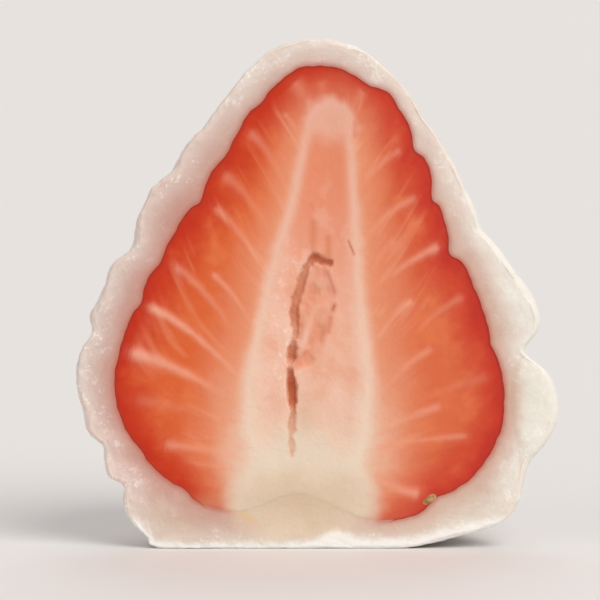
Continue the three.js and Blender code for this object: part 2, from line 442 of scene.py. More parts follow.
def closed_mesh(name, first, rings, last, attributes):
    """A skin from a first point over equal rings to a last point, with numbers stored on its points."""
    count = len(rings)
    points = np.vstack([first[None]] + list(rings) + [last[None]])
    faces = []
    following = np.roll(np.arange(AROUND), -1)
    here = np.arange(AROUND)
    faces.append(np.stack([np.zeros(AROUND, int), 1 + following, 1 + here], -1))
    for ring in range(count - 1):
        low, high = 1 + ring * AROUND, 1 + (ring + 1) * AROUND
        faces.append(np.stack([low + here, low + following, high + here], -1))
        faces.append(np.stack([low + following, high + following, high + here], -1))
    low = 1 + (count - 1) * AROUND
    tip = np.full(AROUND, len(points) - 1)
    faces.append(np.stack([low + here, low + following, tip], -1))
    faces = np.vstack(faces)
    corners = points[faces] - HEART
    if np.einsum("ij,ij->i", corners[:, 0], np.cross(corners[:, 1], corners[:, 2])).sum() < 0:
        faces = faces[:, ::-1]
    placed = (points + [AXIS_X, CUT_Y, 0]) * MM
    mesh = bpy.data.meshes.new(name)
    mesh.from_pydata(placed.tolist(), [], faces.tolist())
    mesh.polygons.foreach_set("use_smooth", np.ones(len(faces), bool))
    for key, values in attributes.items():
        layer = mesh.attributes.new(key, "FLOAT", "POINT")
        layer.data.foreach_set("value", np.asarray(values, np.float32))
    made = bpy.data.objects.new(name, mesh)
    bpy.context.scene.collection.objects.link(made)
    print(f"{name}: {len(points)} points, {len(faces)} triangles")
    return made


# %% [markdown]
# ## What the knife did
#
# The blade drags soft dough with it, so the skin turns in over the last millimetre before the cut, more
# where the dough is thick. The fruit is firm and keeps a crisp edge. The whole cut lies a hair behind the
# cutting plane, which leaves room for its own unevenness.
#
# Over the scar of the hull the dough sticks fast to the fruit, and the blade leaves no step between them.
# Each face runs on a little way beneath the other there and dips as it goes, so that no gap opens and
# their border is a mere crossing of two surfaces.

# %% Cut edges
RECESS = 0.14  # how far the cut lies behind the cutting plane
# Height, and how far the rim is dragged in there.
RIM_DRAG = [
    (0, 0.35), (3, 0.5), (8, 0.7), (12.5, 0.8), (16, 0.6), (19, 0.5), (22, 0.7), (30, 0.45), (46, 0.4),
]
RIM_LENGTH = 1.5  # how far behind the cut the turn begins, as a multiple of the drag
FRUIT_EDGE = 0.04  # radius of the fruit's own cut edge
HULL = (-1.6, 4.0)  # across and height of the scar where the hull was
HULL_HALF = (8.2, 4.5)  # half its width and half its height
HULL_LAP = 0.6  # how far each body reaches under the other's face over the scar
HULL_DIP = 0.08  # how deep it lies at the end of that reach


def hull_near(points):
    """1 over the hull's scar, 0 away from it."""
    across = (points[..., 0] - HULL[0]) / HULL_HALF[0]
    up = (points[..., 2] - HULL[1]) / HULL_HALF[1]
    return 1 - smooth(across**2 + up**2, 0.7, 1.3)


def turned_in(points, drag):
    """How far the cut edge turns in at each point; the turn starts RIM_LENGTH drags behind the cut."""
    behind = np.clip(1 - points[..., 1] / (drag * RIM_LENGTH), 0, 1)
    return drag * (1 - np.sqrt(1 - behind**2))


def behind_cut(points):
    """The points moved back by the recess, less and less over the first few millimetres of depth."""
    moved = points.copy()
    moved[..., 1] += RECESS * np.exp(-points[..., 1] / 3)
    return moved


print("the rim turns in by up to", max(drag for _, drag in RIM_DRAG), "mm")

# %% [markdown]
# ## Folds, swells and seed pits
#
# Dough gathers in creases where it was pinched shut, and a crease that the knife crosses shows as a notch
# in the outline. Each is a groove along the skin with a swollen upper lip, that fades on its way round
# the back. Broad, shallow swells keep the back from looking turned on a lathe. The fruit's outline dips
# at each seed.

# %% Relief of the dough's skin
# Side, height at the cut, climb over half a turn, depth, width, share of the lip, reach in radians.
FOLDS = [
    ("right", 17.8, -9, 1.7, 1.4, 0.2, 1.7),
    ("right", 29.2, -12, 0.3, 1.0, 0.1, 1.5),
    ("right", 39.4, -16, 0.25, 1.1, 0.3, 2.2),
    ("right", 7.6, 10, 0.3, 1.1, 0.4, 1.3),
    ("left", 27.6, -15, 0.7, 1.2, 0.5, 1.6),
    ("left", 19.6, -8, 0.5, 0.9, 0.6, 1.2),
    ("left", 9.0, 7, 0.5, 0.9, 0.5, 1.4),
    ("left", 5.2, 4, 0.7, 0.8, 0.4, 1.0),
    ("left", 34.6, -10, 0.5, 1.1, 0.5, 1.5),
]
# Size, number round the axis, height of one swell, phase.
SWELLS = [(0.45, 3, 15, 0.6), (0.32, 5, 9.5, 2.1), (0.2, 8, 6.2, 4.0)]


def cake_relief(points, turn):
    """How far folds and swells push the skin out at each point."""
    height = points[..., 2]
    push = np.zeros(height.shape)
    for side, start, climb, depth, width, lip, reach in FOLDS:
        run = turn if side == "right" else math.pi - turn
        fade = np.exp(-((run / reach) ** 2))
        groove = (height - start - climb * run / math.pi) / width
        push += depth * fade * (lip * np.exp(-((groove - 2) ** 2)) - np.exp(-(groove**2)))
    off_axis = smooth(np.hypot(points[..., 0], points[..., 1]), 2, 9)
    free = smooth(np.sin(turn), 0.15, 0.7) * smooth(height, 1.5, 9) * off_axis
    for size, count, wave, phase in SWELLS:
        swell = np.sin(count * turn + phase) * np.cos(2 * math.pi * height / wave + phase)
        push += size * swell * free
    return push


def cake_skin(tilt):
    """One ring of the dough's outside."""
    share, turn = dome_ring(tilt)
    points = skin_points(CAKE, share, turn)
    points = points + away(points) * cake_relief(points, turn)[..., None]
    heights, drags = zip(*RIM_DRAG)
    thin_wall = 1 - 0.45 * smooth(points[..., 0], 2, 6) * smooth(points[..., 2], 34, 40)
    drag = np.interp(points[..., 2], heights, drags) * np.where(points[..., 0] < 0, 0.75, 1) * thin_wall
    points = points - away(points) * turned_in(points, drag)[..., None]
    points[..., 2] = np.maximum(points[..., 2], 0)
    return behind_cut(points)


print(len(FOLDS), "folds and", len(SWELLS), "kinds of swell")

# %% Relief of the fruit's skin
PIT_WIDTH = 1.05
# Height on that side and depth of each seed pit that the knife went through.
PITS = {
    "right": [
        (41.9, 0.15), (39.9, 0.15), (36.8, 0.8), (32.4, 0.65), (27.4, 0.75), (18.7, 0.15), (4.4, 0.4),
    ],
    "left": [
        (40.6, 0.3), (35.8, 0.2), (32.0, 0.6), (26.4, 0.35), (22.4, 0.4), (8.9, 0.1), (5.3, 0.25),
    ],
}
# Count round the edge, size and phase of the small waves that the knife leaves in it.
SCALLOPS = [(23, 0.03, 0.4), (41, 0.025, 2.1), (67, 0.02, 4.0), (109, 0.015, 1.2)]


def on_side(side, height):
    """Where the fruit's meridian on a side first reaches a height, coming down from the top."""
    line = BERRY[side](np.linspace(1, 0, 400))
    out, up = line[np.argmax(line[:, 1] <= height)]
    return np.array([out if side == "right" else -out, 0, up])


def fruit_skin(tilt, grow=0.0):
    """One ring of the fruit's outside, or of a hollow that is larger by grow."""
    share, turn = dome_ring(tilt)
    points = skin_points(BERRY, share, turn)
    push = np.full(AROUND, grow)
    near_cut = math.exp(-((tilt / 0.2) ** 2))
    for count, size, phase in SCALLOPS:
        push += size * near_cut * np.sin(count * around + phase)
    for side, pits in PITS.items():
        for height, depth in pits:
            near = np.linalg.norm(points - on_side(side, height), axis=-1) / PIT_WIDTH
            push -= depth * np.exp(-(near**2))
    return behind_cut(points + away(points) * push[:, None])


print(sum(len(pits) for pits in PITS.values()), "seed pits in the cut edge")

# %% [markdown]
# ## The rice-dough wrapper
#
# One skin goes round the outside, over the turned-in rim, across the cut band and back along the hollow
# that the fruit lies in. The band is not flat: it sinks a little where it meets the fruit, and over the
# scar of the hull it dips under the fruit's face. Masks for the colours are worked out here from true
# distances and stored on the points: how far the fruit is, how far the edge is, what is skin, and on
# which side of the crease that sets off the right-hand bulge a point lies.

# %% Wrapper mesh
# The crease of the right-hand bulge, across and height, from the top down.
CREASE = np.array([(18.9, 17.9), (17.9, 16.6), (17.4, 14.6), (17.5, 12.2), (18.1, 9.4), (18.3, 7.4)])
CREASE_MIDDLE, CREASE_REACH = 12.6, 8  # the height about which the crease counts, and how far up and down
FAR = 9  # stored where something is nowhere near, in millimetres
SEAM_SINK, SEAM_WIDTH = 0.03, 0.3  # how deep the band sinks where it meets the fruit, and over what width
HOLLOW_GAP = 0.01  # between the dough and the fruit
RIM_TILTS = [6.8, 5.7, 4.8, 4.0, 3.3, 2.7, 2.1, 1.6, 1.2, 0.8, 0.5, 0.25, 0.1, 0]  # degrees
SKIN_TILTS = np.radians(np.concatenate([np.linspace(88.5, 8, 62), RIM_TILTS]))
BAND_RINGS = 36
HOLLOW_TILTS = np.radians(np.concatenate([[0.3, 0.8, 1.5, 3], np.linspace(6, 88.5, 30)]))


def under_fruit(ring):
    """A ring of the hollow, drawn inwards over the hull's scar, where the dough runs on under the fruit."""
    return ring - away(ring) * (HULL_LAP * hull_near(ring))[:, None]


skin_rings = [cake_skin(tilt) for tilt in SKIN_TILTS]
hollow_rings = [under_fruit(fruit_skin(tilt, HOLLOW_GAP)) for tilt in HOLLOW_TILTS]
cake_edge = skin_rings[-1]
seam = fruit_skin(0.0, HOLLOW_GAP)  # where dough and fruit meet in the cut
inner_edge = under_fruit(seam)

grown = hull_near(seam)
band_width = np.linalg.norm(inner_edge - cake_edge, axis=1)
to_seam = np.linalg.norm(seam - cake_edge, axis=1)
band_rings = []
for share in 0.5 - 0.5 * np.cos(np.pi * np.arange(1, BAND_RINGS + 1) / BAND_RINGS):
    ring = cake_edge + share * (inner_edge - cake_edge)
    past_seam = share * band_width - to_seam
    sink = SEAM_SINK * np.exp(-((past_seam / SEAM_WIDTH) ** 2)) * (1 - grown)
    dip = HULL_DIP / HULL_LAP * past_seam.clip(0, None) * grown
    ring[:, 1] = RECESS + sink + dip
    band_rings.append(ring)

rear = np.array(math.pi / 2)  # the turn at which a body's very back lies
back_point = skin_points(CAKE, np.array(0.5), rear)
back_point = back_point + away(back_point) * cake_relief(back_point, rear)
hollow_point = skin_points(BERRY, np.array(0.5), rear)

skin_stack = np.vstack([back_point[None]] + skin_rings)
skin_depth = skin_stack[:, 1] - RECESS
fruit_behind = np.vstack([hollow_point[None]] + [fruit_skin(tilt) for tilt in SKIN_TILTS])
skin_to_fruit = np.linalg.norm(skin_stack - fruit_behind, axis=1)

band_flat = np.vstack(band_rings)[:, [0, 2]]
band_to_fruit = edge_distance(band_flat, seam[:, [0, 2]])
band_to_edge = edge_distance(band_flat, cake_edge[:, [0, 2]])
crease_line = meridian(CREASE)(np.linspace(0, 1, 120))
crease_side = np.sign(band_flat[:, 0] - across_at(crease_line, band_flat[:, 1]))
beside_crease = (band_flat[:, 0] > 0) & (abs(band_flat[:, 1] - CREASE_MIDDLE) < CREASE_REACH)
band_crease = np.where(beside_crease, edge_distance(band_flat, crease_line) * crease_side, -FAR)
band_loose = smooth(band_to_fruit, 0, 1.6)

# Zeros for the skin, the band and the hollow, from which the stored numbers are put together.
no_skin, no_band = np.zeros(len(skin_stack)), np.zeros(len(band_flat))
no_hollow = np.zeros(AROUND * len(hollow_rings) + 1)

wrapper_base = closed_mesh(
    "wrapper_base",
    back_point,
    skin_rings + band_rings + hollow_rings,
    hollow_point,
    {
        "skin": np.concatenate([smooth(skin_depth, 0.05, 0.9), no_band, no_hollow]),
        "to_fruit": np.concatenate([skin_to_fruit, band_to_fruit, no_hollow]),
        "to_edge": np.concatenate([no_skin, band_to_edge, no_hollow + FAR]),
        "loose": np.concatenate([no_skin + 1, band_loose, no_hollow]),
        "crease": np.concatenate([no_skin - FAR, band_crease, no_hollow - FAR]),
        "deep": np.concatenate([smooth(skin_depth, 0.2, 6.0), 0.3 * band_loose, no_hollow]),
    },
)

# %% [markdown]
# ## The cut fruit
#
# The fruit's skin is closed by its cut face, whose points lie on rays from a centre beside the core's
# slit, so they crowd where the relief is finest. The core is what the eye goes to: a pale ring of vessels
# runs up both sides and meets under the tip, and inside it the pith has torn open in a slit, with a
# shallow hollow on its right where shreds of pith came away. Each is drawn as a line or two, and what is
# stored on the points is how far from those lines they lie. A tree presses the relief in further on.

# %% Lines of the core
# Across and height, from the top down.
RING_LEFT = [(-0.7, 38.9), (-1.2, 36.4), (-1.7, 34.1), (-2.5, 30.7), (-3.3, 28.2), (-4.0, 25.4),
             (-4.8, 22.0), (-5.5, 18.8), (-6.1, 15.5), (-6.1, 11.0), (-5.3, 8.0), (-4.7, 5.0), (-4.4, 2.0)]
RING_RIGHT = [(2.8, 38.8), (2.9, 36.0), (3.2, 31.6), (3.5, 26.2), (3.7, 22.7), (4.3, 18.0), (4.5, 13.2),
              (4.0, 9.5), (3.3, 7.6), (2.9, 5.0), (2.7, 2.0)]
# The arch between them, from left to right.
RING_TOP = [(-0.7, 38.9), (-0.2, 39.6), (0.5, 40.0), (1.3, 40.1), (2.1, 39.9), (2.6, 39.4), (2.8, 38.8)]
# Across, height, half width and how dark it is, from the top down: 1 is a deep gap, 0.1 a mere stain.
SLIT = np.array(
    [
        (1.1, 25.9, 0.26, 0.7), (0.4, 26.1, 0.36, 0.8), (-0.3, 26.35, 0.42, 0.85),
        (-0.9, 25.75, 0.24, 0.55), (-1.35, 24.7, 0.4, 0.6), (-1.65, 23.6, 0.42, 0.58),
        (-2.05, 22.3, 0.4, 0.6), (-2.15, 21.2, 0.44, 0.7), (-2.05, 19.8, 0.3, 0.5),
        (-2.15, 18.9, 0.2, 0.4), (-2.3, 18.2, 0.46, 0.7), (-2.4, 17.3, 0.5, 0.8),
        (-2.5, 16.6, 0.08, 0.2), (-2.5, 16.0, 0.28, 0.8), (-2.35, 14.7, 0.5, 1.0),
        (-2.3, 13.4, 0.38, 0.95), (-2.25, 12.6, 0.16, 0.5), (-2.35, 11.6, 0.38, 0.35),
        (-2.4, 10.7, 0.4, 0.3), (-2.45, 10.2, 0.16, 0.2), (-2.4, 9.2, 0.36, 0.14), (-2.4, 8.4, 0.05, 0.08),
    ]
)
HOLLOW_RIGHT = [(0.9, 26.2), (1.0, 25.0), (1.5, 23.2), (1.5, 22.0), (1.15, 21.0), (0.95, 19.4),
                (0.4, 17.9), (-0.6, 16.7), (-1.9, 16.1)]
SHRED = [(0.6, 21.9), (-0.3, 21.7), (-0.9, 20.2), (-1.4, 18.4)]  # pith left standing in the hollow
SHRED_HALF = 0.45  # half its width

along = np.linspace(0, 1, 300)
ring_left, ring_right = meridian(RING_LEFT)(along), meridian(RING_RIGHT)(along)
ring_top = meridian(RING_TOP)(along)
slit_line, hollow_right, shred_line = (
    meridian(line)(along) for line in (SLIT[:, :2], HOLLOW_RIGHT, SHRED)
)
print("core lines:", len(SLIT), "points along the slit")

# %% Fruit mesh
FACE_CENTRE = np.array([-0.9, 18.5])
FACE_RINGS = 128
FACE_CROWDING = 0.12  # how much closer together the rings lie half way out
EDGE_TILTS = [4, 2.6, 1.6, 0.9, 0.5, 0.3, 0.15, 0.06, 0]  # degrees
BERRY_TILTS = np.radians(np.concatenate([np.linspace(87, 6, 30), EDGE_TILTS]))
PITH_SINK = 0.12  # how deep the pith lies below the flesh round it
EDGE_SINK = 0.02  # how deep the face lies at its very edge

berry_rings = []
for tilt in BERRY_TILTS:
    ring = fruit_skin(tilt)
    grown = hull_near(ring)
    edge_radius = FRUIT_EDGE * (1.001 - grown)  # sharp over the scar, but never quite nought
    inward = turned_in(ring - [0, RECESS, 0], edge_radius) - HULL_LAP * grown
    ring = ring - away(ring) * inward[:, None]
    berry_rings.append(ring)
berry_outline = berry_rings[-1][:, [0, 2]]

face_rings = []
face_shares = 1 - np.arange(1, FACE_RINGS) / FACE_RINGS
face_shares = face_shares + FACE_CROWDING * np.sin(2 * math.pi * face_shares) / (2 * math.pi)
face_shares[0] = 0.9985  # so close to the edge that the face stays flat up to it
for share in face_shares:
    flat = FACE_CENTRE + share * (berry_outline - FACE_CENTRE)
    face_rings.append(np.stack([flat[:, 0], np.full(AROUND, RECESS), flat[:, 1]], -1))
face = np.vstack(face_rings + [np.array([[FACE_CENTRE[0], RECESS, FACE_CENTRE[1]]])])
flat = face[:, [0, 2]]

to_rim = edge_distance(flat, berry_outline)
ring_lines = np.vstack([ring_left, ring_right, ring_top])
left_of, right_of = across_at(ring_left, flat[:, 1]), across_at(ring_right, flat[:, 1])
below_top = flat[:, 1] < np.interp(flat[:, 0], *zip(*RING_TOP))
inside = (flat[:, 0] > left_of) & (flat[:, 0] < right_of) & below_top
to_ring = edge_distance(flat, ring_lines) * np.where(inside, -1, 1)

slit_gap, slit_index = nearest(flat, slit_line)
slit_marks = nearest(SLIT[:, :2], slit_line)[1]
slit_half = np.interp(slit_index, slit_marks, SLIT[:, 2])
slit_dark = np.interp(slit_index, slit_marks, SLIT[:, 3])

hollow_left = across_at(slit_line, flat[:, 1])
hollow_side = np.minimum(flat[:, 0] - hollow_left, across_at(hollow_right, flat[:, 1]) - flat[:, 0])
hollow_span = smooth(flat[:, 1], 15.6, 16.8) * (1 - smooth(flat[:, 1], 25.4, 26.2))
hollow_span = hollow_span * (1 + hollow_side.clip(-1, 0))
shred = np.exp(-((edge_distance(flat, shred_line) / SHRED_HALF) ** 2))

pith_sink = PITH_SINK * smooth(-to_ring, 0.3, 2.0) * smooth(to_rim, 0.3, 3.0)
edge_sink = EDGE_SINK * (1 - smooth(to_rim, 0.0, 0.3)) * (1 - hull_near(face))
hull_dip = HULL_DIP * (1 - to_rim / HULL_LAP).clip(0, 1) * hull_near(face)
face[:, 1] += pith_sink + edge_sink + hull_dip
face_rings = list(face[:-1].reshape(FACE_RINGS - 1, AROUND, 3))

berry_stack = np.vstack([hollow_point[None]] + berry_rings)
outer = np.zeros(len(berry_stack))
berry_base = closed_mesh(
    "berry_base",
    hollow_point,
    berry_rings + face_rings,
    face[-1],
    {
        "to_rim": np.concatenate([outer, to_rim]),
        "to_ring": np.concatenate([outer + FAR, to_ring]),
        "slit_gap": np.concatenate([outer + FAR, slit_gap]),
        "slit_half": np.concatenate([outer, slit_half]),
        "slit_dark": np.concatenate([outer, slit_dark]),
        "hollow_side": np.concatenate([outer - FAR, hollow_side]),
        "hollow_span": np.concatenate([outer, hollow_span]),
        "shred": np.concatenate([outer, shred]),
        "cut": np.concatenate([outer, smooth(to_rim, 0.0, 0.5)]),
    },
)

# %% [markdown]
# ## Geometry Nodes, from a tree to a plain mesh
#
# Three things on this cake follow a rule over a surface: the dough's kneaded unevenness, the strands of
# vessels in the cut flesh, and the seeds and flour that lie in many copies. Each is a small tree with
# named inputs. The helper below builds such a tree, hands its inputs over by their identifiers, and turns
# the result into a plain mesh, because an exported model keeps no modifiers and no instances.


# %% Tree helper
class Shaper(Tree):
    """A Geometry Nodes tree whose inputs have names and whose result is a plain mesh."""

    KINDS = {
        "float": "NodeSocketFloat",
        "int": "NodeSocketInt",
        "vector": "NodeSocketVector",
        "object": "NodeSocketObject",
    }

    def __init__(self, name, inputs):
        super().__init__(bpy.data.node_groups.new(name, "GeometryNodeTree"))
        face = self.nodes.interface
        face.new_socket("Geometry", in_out="INPUT", socket_type="NodeSocketGeometry")
        self.sockets = {
            label: face.new_socket(label, in_out="INPUT", socket_type=self.KINDS[kind])
            for label, kind in inputs.items()
        }
        face.new_socket("Geometry", in_out="OUTPUT", socket_type="NodeSocketGeometry")
        self.entry = self.nodes.nodes.new("NodeGroupInput")
        self.exit = self.nodes.nodes.new("NodeGroupOutput")

    def given(self, label):
        return Socket(self, self.entry.outputs[label])

    def stored(self, attribute):
        return self.node("GeometryNodeInputNamedAttribute", {"data_type": "FLOAT"}, {"Name": attribute})

    def place(self):
        """Positions in millimetres."""
        return self.scaled(self.node("GeometryNodeInputPosition"), 1 / MM)

    def store(self, geometry, name, value):
        settings = {"data_type": "FLOAT", "domain": "POINT"}
        inputs = {0: geometry, "Name": name, "Value": value}
        return self.node("GeometryNodeStoreNamedAttribute", settings, inputs)

    def moved(self, geometry, offset):
        return self.node("GeometryNodeSetPosition", inputs={"Geometry": geometry, "Offset": offset})

    def put(self, geometry, position):
        return self.node("GeometryNodeSetPosition", inputs={"Geometry": geometry, "Position": position})

    def end(self, geometry, finish):
        """What leaves the tree: real geometry, dressed in a finish."""
        real = self.node("GeometryNodeRealizeInstances", inputs={"Geometry": geometry})
        inputs = {"Geometry": real, "Material": finish.material}
        self.feed(self.exit.inputs[0], self.node("GeometryNodeSetMaterial", inputs=inputs))

    def result(self, base, name, values):
        """The tree run on base's mesh with these input values, as a new object. Base is removed."""
        modifier = base.modifiers.new("shaper", "NODES")
        modifier.node_group = self.nodes
        for label, value in values.items():
            modifier[self.sockets[label].identifier] = value
        bpy.context.view_layer.update()
        evaluated = base.evaluated_get(bpy.context.evaluated_depsgraph_get())
        mesh = bpy.data.meshes.new_from_object(evaluated)
        mesh.name = name
        base.modifiers.remove(modifier)
        bpy.data.objects.remove(base)
        made = bpy.data.objects.new(name, mesh)
        bpy.context.scene.collection.objects.link(made)
        print(f"{name}: {len(mesh.polygons)} faces")
        return made


# %% [markdown]
# ## Finish of the dough
#
# Fresh rice dough is white with a trace of warmth and lets light in for a millimetre or two. Next to the
# fruit a thin line of juice stains it, and a wider pink there is painted light, the red glow that the fruit
# scatters into the dough. Over the scar of the hull it is stained straw colour, and at the very edge the
# white of the flour shows. The right half is painted whiter and the left greyer, as lit and shaded sides,
# and painted shade lies along the crease by the right-hand bulge. Light scattered below the surface is
# what makes it look soft, so the shader's subsurface part is strong. The skin is matt with flour, and the
# cut is smoother and catches soft gleams.

# %% The hull's scar, coloured the same in the dough and in the fruit
SCAR = (HULL[0] + AXIS_X, HULL[1] + 0.3)  # across and height of the stain's middle
SCAR_HALF = (7.0, 3.6)  # half its width and half its height


def over_scar(tree, tint, across, height):
    """Tint with the scar laid over it: cream, with a tan heart and a soft, uneven border."""
    drift = tree.noise(tree.place, 0.35, 3.0) - 0.5
    out = (across - SCAR[0]) / SCAR_HALF[0]
    up = (height - SCAR[1]) / SCAR_HALF[1]
    heart = tree.bell(height - SCAR[1] + drift * 4, 2.7) * tree.bell(out, 0.95)
    scar = tree.mix(colour(227, 210, 189), colour(213, 190, 163), heart)
    return tree.mix(tint, scar, 1 - tree.step(out * out + up * up + drift * 0.9, 0.45, 1.4))


# %% Dough material
dough = Finish(
    "rice_dough",
    {
        "IOR": 1.45,
        "Subsurface Weight": 0.5,
        "Subsurface Radius": (1.0, 0.66, 0.52),
        "Subsurface Scale": 1.1 * MM,
        "Specular IOR Level": 0.35,
    },
)
across, _, height = dough.split(dough.place)
to_fruit = dough.of("to_fruit")
to_edge = dough.of("to_edge")
skin = dough.of("skin")

cloud = dough.noise(dough.place, 0.28, 3.0) - 0.5
mottle = dough.noise(dough.place, 0.9, 4.0, 0.6) - 0.5
grit = dough.noise(dough.place, 3.2, 3.0, 0.6) - 0.5
right_side = dough.step(across + cloud * 10, -9.0, 13.0)
high = dough.step(height + cloud * 8, 26.0, 38.0)
foot = 1 - dough.step(height + cloud * 4, 2.0, 9.0)

# Streaks that follow the outline: fast across the band, slow along it.
middle = (AXIS_X, CUT_Y, HEART[2])
from_heart = dough.vectors("SUBTRACT", dough.place, middle)
outward = dough.node("ShaderNodeVectorMath", {"operation": "NORMALIZE"}, {0: from_heart})
turned_x, _, turned_z = dough.split(outward)
combed = dough.vector(turned_x * 7, to_edge * 0.8 + cloud * 2.5, turned_z * 7)
streaks = dough.noise(combed, 1.0, 3.0, 0.6) - 0.5

# Painted light: the right half, towards the key lamp, is painted whiter and the left half greyer, with
# paler streaks on the right and duller ones on the left, as lit and shaded sides.
white = dough.mix(colour(202, 179, 168), colour(227, 224, 214), right_side)
white = dough.mix(white, colour(218, 204, 193), high)
pale = dough.step(streaks + mottle * 0.6, 0.0, 0.16)
white = dough.mix(white, colour(236, 230, 222), pale * (0.3 + 0.15 * right_side))
dull = dough.step(0 - streaks - mottle * 0.6, 0.0, 0.18)
white = dough.mix(white, colour(192, 170, 158), dull * (0.5 - 0.3 * right_side))
white = dough.mix(white, colour(214, 192, 172), foot * 0.6)
flushed = dough.bell(height - 9.0 + cloud * 6, 4.5) * (1 - right_side)
white = dough.mix(white, colour(227, 184, 174), flushed * 0.6)
shoulder = dough.bell(height - 33.0 + cloud * 8, 9.5) * (1 - right_side)
white = dough.mix(white, colour(199, 160, 146), shoulder * 0.85)
# Painted light: within about 3 mm of the fruit the dough is painted pink for the red light that the fruit
# scatters into it, a little lighter on the right.
fruit_glow = 1 - dough.step(to_fruit + cloud * 1.8 + mottle * 1.2 + streaks * 0.6, 0.2, 3.2)
pink = dough.mix(colour(196, 145, 132), colour(205, 164, 146), right_side)
white = dough.mix(white, pink, fruit_glow * (0.9 - 0.3 * foot - 0.5 * high))
# Painted shade along the crease that sets off the right-hand bulge.
crease_shade = dough.bell(dough.of("crease") + mottle * 0.5, 0.32)
white = dough.mix(white, colour(206, 188, 166), crease_shade * 0.3)
bulge = dough.step(dough.of("crease") + mottle * 1.2, 0.0, 2.0)
white = dough.mix(white, colour(229, 228, 215), bulge * 0.7)

# Flour shows along the outer edge, dough that has drunk juice along the inner one.
drifts = dough.step(cloud + mottle * 0.4, -0.04, 0.1)
grains = dough.step(grit + mottle * 0.8 + streaks * 0.3, 0.04, 0.18) * drifts
outer_strip = dough.bell(to_edge + mottle * 1.2, 1.5)
white = dough.mix(white, colour(236, 231, 224), outer_strip * 0.4)
white = dough.mix(white, colour(247, 244, 240), grains * outer_strip * 0.6)
white = dough.mix(white, colour(236, 230, 222), dough.bell(to_edge, 0.4) * 0.12)

juice = dough.bell(to_fruit, 0.34)
white = dough.mix(white, colour(202, 98, 74), juice * (0.62 + 0.3 * mottle))
white = over_scar(dough, white, across, height)

# The sole is white with flour, and a yellowish smear lies beside the scar.
sole_tall = 0.2 + 0.35 * dough.step(across, -3.0, 3.0) + 0.8 * dough.bell(across - 1.6, 1.4)
sole = 1 - dough.step(to_edge + mottle * 1.1 - sole_tall, -0.35, 0.55)
sole = sole * (1 - dough.step(height, 2.2, 3.4))
white = dough.mix(white, colour(247, 245, 241), sole * 0.8)

SMEAR = (-6.7, 3.2)  # across and height of its middle
SMEAR_HALF = (1.4, 0.6)
SMEAR_FALL = 0.6  # how much it drops for each millimetre to the right
right_of_smear = across - SMEAR[0]
smear_across = right_of_smear / SMEAR_HALF[0]
smear_up = (height - SMEAR[1] + right_of_smear * SMEAR_FALL) / SMEAR_HALF[1]
smear = 1 - dough.step(smear_across * smear_across + smear_up * smear_up + mottle * 2, 0.2, 1.6)
white = dough.mix(white, colour(221, 191, 154), smear * 0.7)

# The skin: pinker where the dough is thin enough for the fruit to show through it.
through = dough.bell(to_fruit - 1.6, 1.6)
floured = dough.mix(colour(232, 226, 220), colour(218, 196, 186), through * 0.8)
floured = dough.mix(floured, colour(244, 241, 236), dough.step(mottle, -0.04, 0.2) * 0.5)
floured = dough.mix(floured, colour(212, 200, 192), dough.step(0 - mottle - grit * 0.4, 0.04, 0.26) * 0.4)
dough.set("Base Color", dough.mix(white, floured, skin))

dough.set("Roughness", dough.step(mottle + grit, -0.2, 0.2) * 0.14 + 0.44 + skin * 0.28)
dough.bump(grit * 0.8 + mottle * 0.5 + 0.5, 0.07)
print("rice dough:", len(dough.nodes.nodes), "nodes")

# %% Kneaded unevenness
CREASE_DEPTH = 0.08

kneaded = Shaper(
    "kneaded dough",
    {
        "Lump height": "float",
        "Lumps per mm": "float",
        "Wrinkle height": "float",
        "Grain height": "float",
        "Low corner": "vector",
        "High corner": "vector",
    },
)
spot = kneaded.place()
loose = kneaded.stored("loose")
near_edge = 1 - kneaded.step(kneaded.stored("to_edge"), 0.3, 1.4)
left_side = 1 - kneaded.step(kneaded.split(spot)[0], -9.0, 3.0)
lumps = kneaded.noise(spot, kneaded.given("Lumps per mm"), 2.0) - 0.5
wrinkles = kneaded.noise(spot, 0.85, 2.5, 0.55, 0.6) - 0.5
grains = kneaded.noise(spot, 2.0, 2.0, 0.6) - 0.5
rise = lumps * kneaded.given("Lump height") * kneaded.stored("deep")
rise = rise + wrinkles * kneaded.given("Wrinkle height") * loose * near_edge * (0.45 + left_side)
rise = rise + grains * kneaded.given("Grain height") * loose * (0.35 + 0.65 * near_edge)
rise = rise - kneaded.bell(kneaded.stored("crease"), 0.3) * CREASE_DEPTH
normal = kneaded.node("GeometryNodeInputNormal")
shaped = kneaded.moved(kneaded.given("Geometry"), kneaded.scaled(normal, rise * MM))

# Nothing is pushed out of the solid's own box.
position = kneaded.node("GeometryNodeInputPosition")
above = kneaded.vectors("MAXIMUM", position, kneaded.given("Low corner"))
within = kneaded.vectors("MINIMUM", above, kneaded.given("High corner"))
kneaded.end(kneaded.put(shaped, within), dough)
wrapper = kneaded.result(
    wrapper_base,
    "wrapper",
    {
        "Lump height": 0.9,
        "Lumps per mm": 0.3,
        "Wrinkle height": 0.3,
        "Grain height": 0.14,
        "Low corner": tuple(wrapper_low),
        "High corner": tuple(wrapper_high),
    },
)

# %% [markdown]
# ## Vessels in the flesh
#
# From the pale ring a strand of vessels runs out to every seed. In the cut they show as light, slightly
# raised streaks, broad by the seed and thin at the ring, that climb outwards near the tip and lie almost
# level at the base. Each is drawn as a short falling curve with two numbers on its points, how strong and
# how broad it is. The tree then asks, for every point of the cut, how far the nearest strand is.

